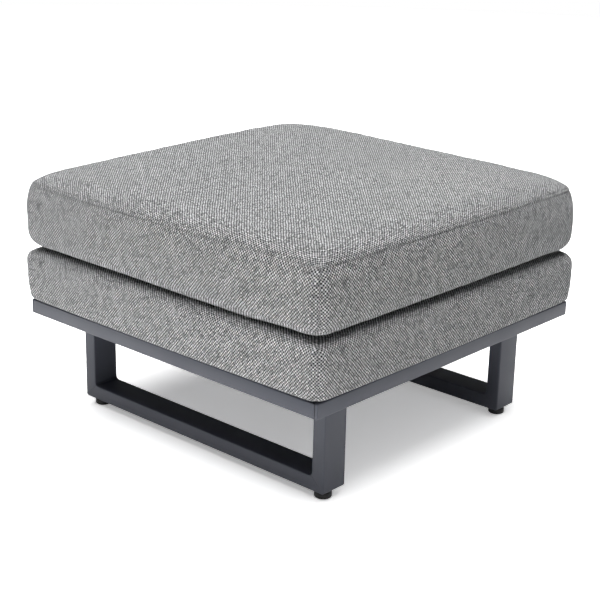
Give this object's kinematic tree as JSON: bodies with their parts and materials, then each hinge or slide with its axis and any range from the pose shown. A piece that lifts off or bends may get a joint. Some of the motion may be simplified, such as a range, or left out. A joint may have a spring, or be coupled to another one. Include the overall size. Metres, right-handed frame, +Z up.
{
  "type": "outdoor ottoman footstool",
  "caption": "Square outdoor footstool with a mitred metal seat frame on two sled legs with levelling glides, and two stacked zipped cushions in grey woven fabric.",
  "frame": {"origin": "centre of the footprint, on the floor under the glides", "axes": "+Z up, +X along the sled legs to the right of the front view, -Y towards the front; the zips are at the back, at +Y"},
  "size_m": [0.684, 0.684, 0.4396],
  "materials": {
    "powder_coat": "satin",
    "zinc_steel": "satin",
    "glide_plastic": "satin",
    "cover_weave": "matte",
    "cushion_foam": "matte",
    "zip_tape": "matte"
  },
  "bodies": {
    "seat_frame": {"rail_front": "powder_coat", "rail_right": "powder_coat", "rail_back": "powder_coat", "rail_left": "powder_coat", "cross_bar_front": "powder_coat", "cross_bar_back": "powder_coat", "seat_slat_1": "powder_coat", "seat_slat_2": "powder_coat", "seat_slat_3": "powder_coat", "seat_slat_4": "powder_coat", "sled_front_foot": "powder_coat", "sled_front_top": "powder_coat", "sled_front_leg_left": "powder_coat", "sled_front_leg_right": "powder_coat", "sled_back_foot": "powder_coat", "sled_back_top": "powder_coat", "sled_back_leg_left": "powder_coat", "sled_back_leg_right": "powder_coat", "sled_washer_front_left": "zinc_steel", "sled_washer_front_right": "zinc_steel", "sled_washer_back_left": "zinc_steel", "sled_washer_back_right": "zinc_steel", "sled_bolt_front_left": "zinc_steel", "sled_bolt_front_right": "zinc_steel", "sled_bolt_back_left": "zinc_steel", "sled_bolt_back_right": "zinc_steel", "sled_rivet_nut_front_left": "zinc_steel", "sled_rivet_nut_front_right": "zinc_steel", "sled_rivet_nut_back_left": "zinc_steel", "sled_rivet_nut_back_right": "zinc_steel", "glide_rivet_nut_front_left": "zinc_steel", "glide_rivet_nut_front_right": "zinc_steel", "glide_rivet_nut_back_left": "zinc_steel", "glide_rivet_nut_back_right": "zinc_steel"},
    "glide_front_left": {"glide_pad_front_left": "glide_plastic", "glide_stem_front_left": "zinc_steel"},
    "glide_front_right": {"glide_pad_front_right": "glide_plastic", "glide_stem_front_right": "zinc_steel"},
    "glide_back_left": {"glide_pad_back_left": "glide_plastic", "glide_stem_back_left": "zinc_steel"},
    "glide_back_right": {"glide_pad_back_right": "glide_plastic", "glide_stem_back_right": "zinc_steel"},
    "base_cushion": {"base_cushion_cover": "cover_weave", "base_cushion_foam": "cushion_foam", "base_cushion_zip": "zip_tape"},
    "base_zip_slider": {"base_cushion_zip_slider": "zinc_steel"},
    "seat_cushion": {"seat_cushion_cover": "cover_weave", "seat_cushion_foam": "cushion_foam", "seat_cushion_zip": "zip_tape"},
    "seat_zip_slider": {"seat_cushion_zip_slider": "zinc_steel"}
  },
  "joints": [
    {"name": "glide_front_left_level", "type": "slide", "parent": "seat_frame", "child": "glide_front_left", "axis": [0, 0, -1], "range_m": [0, 0.008]},
    {"name": "glide_front_right_level", "type": "slide", "parent": "seat_frame", "child": "glide_front_right", "axis": [0, 0, -1], "range_m": [0, 0.008]},
    {"name": "glide_back_left_level", "type": "slide", "parent": "seat_frame", "child": "glide_back_left", "axis": [0, 0, -1], "range_m": [0, 0.008]},
    {"name": "glide_back_right_level", "type": "slide", "parent": "seat_frame", "child": "glide_back_right", "axis": [0, 0, -1], "range_m": [0, 0.008]},
    {"name": "base_cushion_lift", "type": "slide", "parent": "seat_frame", "child": "base_cushion", "axis": [0, 0, 1], "range_m": [0, 0.15]},
    {"name": "seat_cushion_lift", "type": "slide", "parent": "base_cushion", "child": "seat_cushion", "axis": [0, 0, 1], "range_m": [0, 0.15]},
    {"name": "base_zip_run", "type": "slide", "parent": "base_cushion", "child": "base_zip_slider", "axis": [-1, 0, 0], "range_m": [0, 0.523]},
    {"name": "seat_zip_run", "type": "slide", "parent": "seat_cushion", "child": "seat_zip_slider", "axis": [-1, 0, 0], "range_m": [0, 0.507]}
  ]
}
